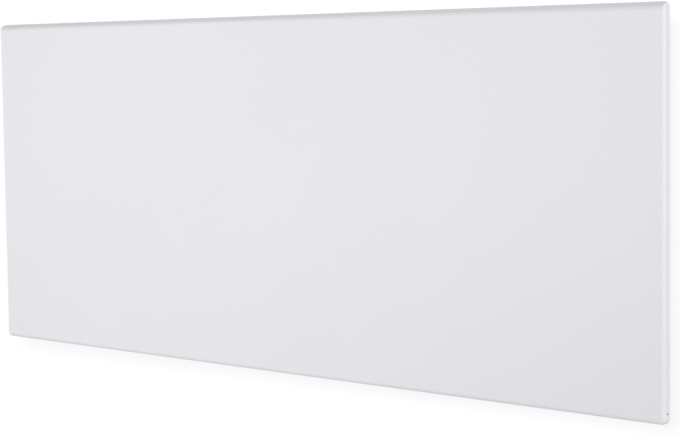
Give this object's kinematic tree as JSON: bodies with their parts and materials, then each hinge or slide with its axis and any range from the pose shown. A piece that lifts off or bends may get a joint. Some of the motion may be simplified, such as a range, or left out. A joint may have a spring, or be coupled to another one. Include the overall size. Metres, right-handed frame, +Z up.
{
  "type": "wall convector heater",
  "caption": "Slim electric convector with a plain white front panel, top and bottom air grilles, top-edge controls and a hook-on wall bracket with quarter-turn locks.",
  "frame": {"origin": "centre of the four wall-screw holes of the bracket, on the wall plane", "axes": "+X to the right seen from the front, +Y into the wall, +Z up; the front faces -Y"},
  "size_m": [1, 0.055, 0.4],
  "materials": {
    "panel_paint": "fine satin powder coat",
    "cover_paint": "satin powder coat",
    "grille_paint": "satin powder coat",
    "galvanised_steel": "galvanised sheet",
    "zinc_screws": "zinc plated",
    "fin_aluminium": "mill finish extrusion",
    "rod_steel": "heat-tinted stainless sheath",
    "ceramic": "glazed ceramic",
    "terminal_brass": "plated brass",
    "phenolic": "moulded phenolic",
    "fascia_plastic": "fine moulded texture",
    "housing_plastic": "moulded plastic",
    "board": "solder resist over glass laminate",
    "connector_nylon": "natural nylon",
    "switch_black": "moulded plastic",
    "display_black": "gloss black",
    "window_smoke": "smoked clear plastic",
    "light_lens": "amber clear plastic",
    "button_plastic": "fine moulded texture",
    "rocker_plastic": "gloss black",
    "gland_nylon": "moulded nylon",
    "sensor_epoxy": "dipped epoxy",
    "lead_brown": "silicone insulation",
    "lead_blue": "silicone insulation",
    "lead_earth": "green and yellow insulation",
    "lead_grey": "insulation",
    "bracket_steel": "galvanised sheet",
    "rivet_aluminium": "plain",
    "lock_plastic": "glass-filled nylon",
    "lock_steel": "zinc plated",
    "buffer_rubber": "moulded rubber"
  },
  "bodies": {
    "bracket": {"bracket_upright_left": "bracket_steel", "bracket_upright_right": "bracket_steel", "bracket_crossbar": "bracket_steel", "bracket_rivets": "rivet_aluminium"},
    "lock_left": {"lock_lever_left": "lock_plastic", "lock_cam_left": "lock_steel", "lock_clip_left": "lock_steel"},
    "lock_right": {"lock_lever_right": "lock_plastic", "lock_cam_right": "lock_steel", "lock_clip_right": "lock_steel"},
    "rocker": {"rocker": "rocker_plastic"},
    "button_minus": {"button_minus": "button_plastic"},
    "button_plus": {"button_plus": "button_plastic"},
    "button_mode": {"button_mode": "button_plastic"},
    "heater": {"front_panel": "panel_paint", "rear_cover": "cover_paint", "outlet_grille": "grille_paint", "inlet_grille": "grille_paint", "panel_stiffener_upper": "galvanised_steel", "panel_stiffener_lower": "galvanised_steel", "heat_shield": "galvanised_steel", "element_bracket_left": "galvanised_steel", "element_bracket_right": "galvanised_steel", "cutout_bracket": "galvanised_steel", "cover_screws": "zinc_screws", "chassis_screws": "zinc_screws", "fascia_screws": "zinc_screws", "element_fins": "fin_aluminium", "element_rod": "rod_steel", "element_bushes": "ceramic", "element_terminals": "terminal_brass", "earth_stud": "terminal_brass", "terminal_screws": "terminal_brass", "thermal_cutout": "phenolic", "control_fascia": "fascia_plastic", "control_housing": "housing_plastic", "control_board": "board", "board_connector": "connector_nylon", "terminal_block": "connector_nylon", "sensor_clip": "connector_nylon", "lead_clips": "connector_nylon", "lead_comb": "connector_nylon", "tact_switches": "switch_black", "relay": "switch_black", "rocker_frame": "switch_black", "display_module": "display_black", "display_window": "window_smoke", "indicator_light": "light_lens", "cable_gland": "gland_nylon", "gland_nut": "gland_nylon", "room_sensor": "sensor_epoxy", "lead_live": "lead_brown", "lead_output": "lead_brown", "lead_limited": "lead_brown", "lead_neutral": "lead_blue", "lead_return": "lead_blue", "lead_earth": "lead_earth", "lead_sensor": "lead_grey", "wall_buffers": "buffer_rubber"}
  },
  "joints": [
    {"name": "heater_lift", "type": "slide", "parent": "bracket", "child": "heater", "axis": [0, 0, 1], "range_m": [0, 0.014]},
    {"name": "lock_left_turn", "type": "hinge", "parent": "bracket", "child": "lock_left", "pos_m": [-0.25, -0.0184, -0.15], "axis": [0, -1, 0], "range_deg": [0, 90]},
    {"name": "lock_right_turn", "type": "hinge", "parent": "bracket", "child": "lock_right", "pos_m": [0.25, -0.0184, -0.15], "axis": [0, 1, 0], "range_deg": [0, 90]},
    {"name": "rocker_tilt", "type": "hinge", "parent": "heater", "child": "rocker", "pos_m": [0.4406, -0.032, 0.186], "axis": [0, 1, 0], "range_deg": [0, 16]},
    {"name": "button_minus_press", "type": "slide", "parent": "heater", "child": "button_minus", "axis": [0, 0, -1], "range_m": [0, 0.0008], "stiffness_N_per_m": 300},
    {"name": "button_plus_press", "type": "slide", "parent": "heater", "child": "button_plus", "axis": [0, 0, -1], "range_m": [0, 0.0008], "stiffness_N_per_m": 300},
    {"name": "button_mode_press", "type": "slide", "parent": "heater", "child": "button_mode", "axis": [0, 0, -1], "range_m": [0, 0.0008], "stiffness_N_per_m": 300}
  ]
}
